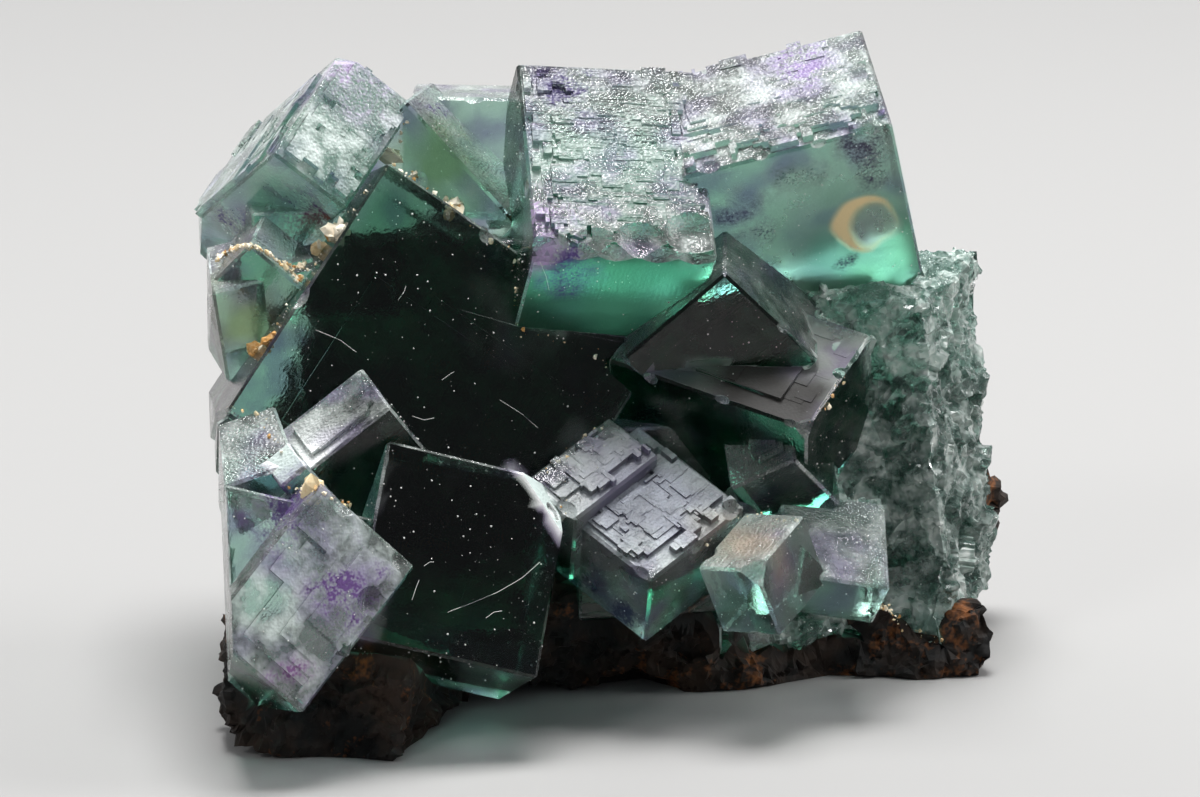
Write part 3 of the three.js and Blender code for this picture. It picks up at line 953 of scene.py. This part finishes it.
more = add(tree, "ShaderNodeMapRange", {"Value": rightward, "From Min": RUST_FROM, "From Max": RUST_TO,
                                        "To Max": 0.08}).outputs["Result"]
amount = add(tree, "ShaderNodeMath", {0: rust, 1: more}, operation="ADD").outputs[0]
rusty = add(tree, "ShaderNodeMapRange", {"Value": amount, "From Min": 0.57,
                                         "From Max": 0.7}).outputs["Result"]
stained = add(tree, "ShaderNodeMix", {"Factor": rusty, 6: ramps["browns"], 7: linear("#7d4a20")},
              data_type="RGBA").outputs[2]
under = add(tree, "ShaderNodeAttribute", attribute_name="grown").outputs["Fac"]
shown = add(tree, "ShaderNodeMix", {"Factor": under, 6: stained, 7: ramps["murk"]},
            data_type="RGBA").outputs[2]
bump = add(tree, "ShaderNodeBump", {"Height": rust, "Strength": 0.6, "Distance": 0.2 * MM})
shader = add(tree, "ShaderNodeBsdfPrincipled", {"Base Color": shown, "Roughness": 0.85,
                                                "Normal": bump.outputs["Normal"]})
tree.links.new(shader.outputs["BSDF"], output.inputs["Surface"])
rock_mesh.materials.append(rock_look)
print("Rock material:", len(tree.nodes), "nodes")

# %% [markdown]
# ## Crumbs in the seams
#
# Pale crumbs of clay and ochre sit where crystals meet. They follow the seams, so each seam is a line of
# points taken from the photo and laid on the crystals, and Geometry Nodes walks along it: points at a
# spacing, a lumpy grain on each, turned and sized at random. Placing each grain by hand would give the same
# look for far more numbers.

# %% Seam lines on the crystals
SEAMS = {
    "centre, right edge": [(390, 165), (420, 184), (452, 208), (480, 230), (506, 250)],
    "centre, left edge": [(384, 168), (352, 212), (330, 240), (300, 288), (264, 348)],
    "top left, low": [(404, 124), (402, 150), (392, 164)],
    "left, low": [(226, 408), (242, 412), (262, 420), (284, 448)],
    "stepped, low": [(290, 488), (312, 492), (332, 498), (352, 506)],
    "green face, left": [(512, 256), (514, 300), (522, 332)],
    "green face, low": [(522, 334), (560, 342), (594, 350), (608, 366)],
    "lavender, back": [(548, 470), (572, 448), (604, 424)],
    "front centre, corner": [(545, 474), (568, 486), (560, 520)],
    "small clear, top": [(700, 552), (722, 520), (770, 516), (800, 526)],
    "ledge, right": [(806, 432), (828, 402), (850, 368)],
    "broken side, low": [(880, 600), (905, 628), (940, 640), (972, 640)],
}
FILMS = {
    "left, arc": [(216, 262), (222, 256), (230, 250), (240, 247), (250, 246), (262, 250), (274, 258),
                  (288, 272)],
    "left, corner": [(284, 262), (294, 268), (304, 264), (298, 282), (290, 270)],
}
FLAKES = {
    "left, high": [(312, 254), (332, 236), (342, 230)],
    "left, edge": [(254, 352), (262, 347), (272, 338)],
    "top left": [(386, 152), (390, 160)],
    "right edge, high": [(410, 172), (422, 180)],
    "right edge, low": [(446, 200), (456, 206), (446, 216)],
    "stepped": [(306, 490), (318, 488)],
}


def seam_lines(seams):
    """Poly curves through the points where the photo's pixels meet the crystals."""
    lines = bpy.data.curves.new("seams", "CURVE")
    lines.dimensions = "3D"
    for pixels in seams.values():
        spots = [spot for spot, _ in map(spot_on, pixels) if spot]
        line = lines.splines.new("POLY")
        line.points.add(len(spots) - 1)
        for point, spot in zip(line.points, spots):
            point.co = (*spot, 1)
    return add_object("seams", lines)


print("Lines:", len(SEAMS), "seams,", len(FILMS), "films,", len(FLAKES), "rows of flakes")

# %% Clay material
CLAY_MOTTLE = 0.12 * MM

# Dried clay with ochre: matt, from cream to tan, each crumb in a tone of its own.
clay, tree, output = new_material("clay and ochre, dry crumbs")
tone = add(tree, "ShaderNodeAttribute", attribute_name="tone").outputs["Fac"]
place = add(tree, "ShaderNodeTexCoord").outputs["Object"]
mottle = add(tree, "ShaderNodeTexNoise", {"Vector": place, "Scale": 1 / CLAY_MOTTLE,
                                          "Detail": 3.0}).outputs["Fac"]
blend = add(tree, "ShaderNodeMath", {0: mottle, 1: 0.4, 2: tone}, operation="MULTIPLY_ADD").outputs[0]
hues = add(tree, "ShaderNodeValToRGB", {"Fac": blend})
hues.color_ramp.elements[0].color = linear("#fffaf0")
hues.color_ramp.elements[1].color = linear("#c8934f")
hues.color_ramp.elements.new(0.72).color = linear("#f0dbb0")
shader = add(tree, "ShaderNodeBsdfPrincipled", {"Base Color": hues.outputs["Color"], "Roughness": 0.9})
tree.links.new(shader.outputs["BSDF"], output.inputs["Surface"])
print("Clay material:", len(tree.nodes), "nodes")


# %% Helpers for geometry nodes
def new_node_tree(name, sizes):
    """A geometry node tree with a named float input for each size, and its input and output nodes."""
    tree = bpy.data.node_groups.new(name, "GeometryNodeTree")
    tree.interface.new_socket("Geometry", in_out="INPUT", socket_type="NodeSocketGeometry")
    for size in sizes:
        tree.interface.new_socket(size, in_out="INPUT", socket_type="NodeSocketFloat")
    tree.interface.new_socket("Geometry", in_out="OUTPUT", socket_type="NodeSocketGeometry")
    return tree, tree.nodes.new("NodeGroupInput"), tree.nodes.new("NodeGroupOutput")


def grow(carrier, tree, sizes, name):
    """Runs a geometry node tree on an object, and keeps the result as a plain mesh object."""
    step = carrier.modifiers.new("grow", "NODES")
    step.node_group = tree
    for socket in tree.interface.items_tree:
        if socket.name in sizes:
            step[socket.identifier] = float(sizes[socket.name])
    mesh = bpy.data.meshes.new_from_object(carrier.evaluated_get(bpy.context.evaluated_depsgraph_get()))
    carrier.modifiers.remove(step)
    mesh.name = name
    print(name, len(mesh.polygons), "faces")
    return add_object(name, mesh)


# %% One crumb, dented and in many sizes
GRAINS = {"Spacing": 0.14 * MM, "Smallest": 0.02 * MM, "Largest": 0.16 * MM, "Scatter": 0.2 * MM,
          "Roundness": 1}
FILM_GRAINS = {"Spacing": 0.035 * MM, "Smallest": 0.08 * MM, "Largest": 0.2 * MM, "Scatter": 0.08 * MM,
               "Roundness": 1}
LARGE_GRAINS = {"Spacing": 0.16 * MM, "Smallest": 0.2 * MM, "Largest": 0.6 * MM, "Scatter": 0.14 * MM,
                "Roundness": 2}

tree, given, result = new_node_tree("crumbs along seams", GRAINS)
lump = add(tree, "GeometryNodeMeshIcoSphere", {"Radius": 1.0, "Subdivisions": given.outputs["Roundness"]})
dents = add(tree, "ShaderNodeTexNoise", {"Scale": 1.3, "Detail": 2.0}).outputs["Color"]
dent = add(tree, "ShaderNodeVectorMath", {0: dents, 1: (0.5, 0.5, 0.5)},
           operation="SUBTRACT").outputs["Vector"]
dented = add(tree, "ShaderNodeVectorMath", {0: dent, "Scale": 2.0}, operation="SCALE").outputs["Vector"]
crumb = add(tree, "GeometryNodeSetPosition", {"Geometry": lump.outputs["Mesh"], "Offset": dented})
share = add(tree, "FunctionNodeRandomValue", {2: 0.0, 3: 1.0, "Seed": 8}, data_type="FLOAT").outputs[1]
rare = add(tree, "ShaderNodeMath", {0: share, 1: 2.5}, operation="POWER").outputs[0]
size = add(tree, "ShaderNodeMapRange", {"Value": rare, "To Min": given.outputs["Smallest"],
                                        "To Max": given.outputs["Largest"]}).outputs["Result"]
flat = add(tree, "FunctionNodeRandomValue", {0: (0.6, 0.6, 0.3), 1: (1.3, 1.1, 0.8), "Seed": 17},
           data_type="FLOAT_VECTOR").outputs[0]
span = add(tree, "ShaderNodeVectorMath", {0: flat, "Scale": size}, operation="SCALE").outputs["Vector"]
turn = add(tree, "FunctionNodeRandomValue", {0: (0, 0, 0), 1: (2 * pi, 2 * pi, 2 * pi), "Seed": 5},
           data_type="FLOAT_VECTOR").outputs[0]
print("Crumb inputs:", ", ".join(GRAINS))

# %% Crumbs along the seams
walk = add(tree, "GeometryNodeCurveToPoints", {"Curve": given.outputs["Geometry"],
                                               "Length": given.outputs["Spacing"]}, mode="LENGTH")
jitter = add(tree, "FunctionNodeRandomValue", {0: (-1, -1, -1), 1: (1, 1, 1), "Seed": 3},
             data_type="FLOAT_VECTOR").outputs[0]
strewn = add(tree, "ShaderNodeVectorMath", {0: jitter, "Scale": given.outputs["Scatter"]},
             operation="SCALE").outputs["Vector"]
loose = add(tree, "GeometryNodeSetPosition", {"Geometry": walk.outputs["Points"], "Offset": strewn})
kept = add(tree, "FunctionNodeRandomValue", {"Probability": 0.5, "Seed": 29}, data_type="BOOLEAN").outputs[3]
placed = add(tree, "GeometryNodeInstanceOnPoints", {
    "Points": loose.outputs["Geometry"], "Selection": kept, "Instance": crumb.outputs["Geometry"],
    "Rotation": turn, "Scale": span})
shade = add(tree, "FunctionNodeRandomValue", {2: 0.0, 3: 0.8, "Seed": 13}, data_type="FLOAT").outputs[1]
toned = add(tree, "GeometryNodeStoreNamedAttribute", {"Geometry": placed.outputs["Instances"], "Name": "tone",
                                                      "Value": shade}, domain="INSTANCE")
real = add(tree, "GeometryNodeRealizeInstances", {"Geometry": toned.outputs["Geometry"]})
finished = add(tree, "GeometryNodeSetMaterial", {"Geometry": real.outputs["Geometry"], "Material": clay})
tree.links.new(finished.outputs["Geometry"], result.inputs["Geometry"])

crumbs = []
for name, lines, sizes in (("seam_crumbs", SEAMS, GRAINS), ("ochre_film", FILMS, FILM_GRAINS),
                           ("seam_flakes", FLAKES, LARGE_GRAINS)):
    seams = seam_lines(lines)
    crumbs.append(grow(seams, tree, sizes, name))
    bpy.data.objects.remove(seams)

# %% [markdown]
# ## Dust
#
# Fine pale specks lie on every face and show most on the dark ones. They are real grains, a few hundredths
# of a millimetre across, strewn over the crystals by Geometry Nodes. A speckle in the material would do for
# one view, but grains catch the light from all sides.

# %% Specks strewn over the crystals
DUST = {"Specks per m2": 1.7 / MM ** 2, "Smallest": 0.012 * MM, "Largest": 0.06 * MM}
DRIFT_SIZE = 2.4 * MM
DUST_MOTTLE = 2.0 * MM

# Fluff and grit: matt and pale, so that it stands out on dark crystal.
lint, tree, output = new_material("house dust, pale specks")
place = add(tree, "ShaderNodeTexCoord").outputs["Object"]
mottle = add(tree, "ShaderNodeTexNoise", {"Vector": place, "Scale": 1 / DUST_MOTTLE}).outputs["Fac"]
pale = add(tree, "ShaderNodeMix", {"Factor": mottle, 6: linear("#f4f4f0"), 7: linear("#b9bcb8")},
           data_type="RGBA").outputs[2]
shader = add(tree, "ShaderNodeBsdfPrincipled", {"Base Color": pale, "Roughness": 0.8})
tree.links.new(shader.outputs["BSDF"], output.inputs["Surface"])

tree, given, result = new_node_tree("dust on faces", DUST)
drift = add(tree, "ShaderNodeTexNoise", {"Scale": 1 / DRIFT_SIZE, "Detail": 2.0}).outputs["Fac"]
thick = add(tree, "ShaderNodeMapRange", {"Value": drift, "From Min": 0.4, "From Max": 0.7, "To Min": 0.15,
                                         "To Max": 2.0}).outputs["Result"]
density = add(tree, "ShaderNodeMath", {0: thick, 1: given.outputs["Specks per m2"]},
              operation="MULTIPLY").outputs[0]
strewn = add(tree, "GeometryNodeDistributePointsOnFaces", {"Mesh": given.outputs["Geometry"],
                                                           "Density": density, "Seed": 21})
speck = add(tree, "GeometryNodeMeshIcoSphere", {"Radius": 1.0, "Subdivisions": 1})
share = add(tree, "FunctionNodeRandomValue", {2: 0.0, 3: 1.0, "Seed": 2}, data_type="FLOAT").outputs[1]
rare = add(tree, "ShaderNodeMath", {0: share, 1: 4.0}, operation="POWER").outputs[0]
size = add(tree, "ShaderNodeMapRange", {"Value": rare, "To Min": given.outputs["Smallest"],
                                        "To Max": given.outputs["Largest"]}).outputs["Result"]
placed = add(tree, "GeometryNodeInstanceOnPoints", {"Points": strewn.outputs["Points"], "Scale": size,
                                                    "Instance": speck.outputs["Mesh"]})
real = add(tree, "GeometryNodeRealizeInstances", {"Geometry": placed.outputs["Instances"]})
finished = add(tree, "GeometryNodeSetMaterial", {"Geometry": real.outputs["Geometry"], "Material": lint})
tree.links.new(finished.outputs["Geometry"], result.inputs["Geometry"])
dust = grow(cluster, tree, DUST, "dust_specks")

# %% [markdown]
# ## Lint
#
# A few fibres of lint lie on the dark faces and show as thin pale lines. Each is a short line of points on
# the crystals, and Geometry Nodes gives it a round section. A hair system could strew fibres, but the few
# that show have their own places.

# %% Lint fibres on the dark faces
FIBRES = {
    "front centre, long": [(448, 612), (472, 603), (498, 592), (522, 578), (540, 562)],
    "front centre, short": [(424, 566), (430, 562), (434, 562)],
    "front centre, low": [(412, 600), (416, 588), (419, 580)],
    "front centre, side": [(486, 618), (494, 612), (502, 611)],
    "centre, low": [(412, 416), (424, 420), (434, 418)],
    "centre, mid": [(442, 380), (450, 374), (454, 372)],
    "centre, right": [(500, 400), (522, 414), (538, 428)],
    "centre, high": [(398, 300), (404, 292), (406, 286)],
    "centre, left": [(316, 330), (340, 340), (356, 352)],
    "top right, arc": [(806, 290), (818, 297), (832, 297), (845, 292)],
    "green face": [(540, 262), (546, 276), (549, 290)],
}
THREAD = {"Thickness": 0.014 * MM}
tree, given, result = new_node_tree("threads along lines", THREAD)
soft = add(tree, "GeometryNodeResampleCurve", {"Curve": given.outputs["Geometry"], "Count": 24})
ring = add(tree, "GeometryNodeCurvePrimitiveCircle", {"Resolution": 5, "Radius": given.outputs["Thickness"]})
tube = add(tree, "GeometryNodeCurveToMesh", {"Curve": soft.outputs["Curve"], "Fill Caps": True,
                                             "Profile Curve": ring.outputs["Curve"]})
real = add(tree, "GeometryNodeRealizeInstances", {"Geometry": tube.outputs["Mesh"]})
finished = add(tree, "GeometryNodeSetMaterial", {"Geometry": real.outputs["Geometry"], "Material": lint})
tree.links.new(finished.outputs["Geometry"], result.inputs["Geometry"])
lines = seam_lines(FIBRES)
fibres = grow(lines, tree, THREAD, "lint_fibres")
bpy.data.objects.remove(lines)
print("Fibres:", len(fibres.data.polygons), "faces")

# %% [markdown]
# ## Every piece on its body
#
# The specimen has no joint, so each piece rides on the one body. The two large meshes stand for their
# solids, and the grains lie on them.

# %% Riding and sizes
for piece, node, slot in ((cluster, "fluorite_crystals", "fluorite"), (rock, "host_rock", "rock")):
    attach(piece, "root")
    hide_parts(node)
for grains in (*crumbs, dust, fibres):
    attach(grains, "root")

bpy.context.view_layer.update()
look_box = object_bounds()
sizes = {"cad": [list(corner) for corner in cad_box], "visual": [list(corner) for corner in look_box]}
print("Dressed, mm:", [[round(value / MM, 1) for value in corner] for corner in look_box])
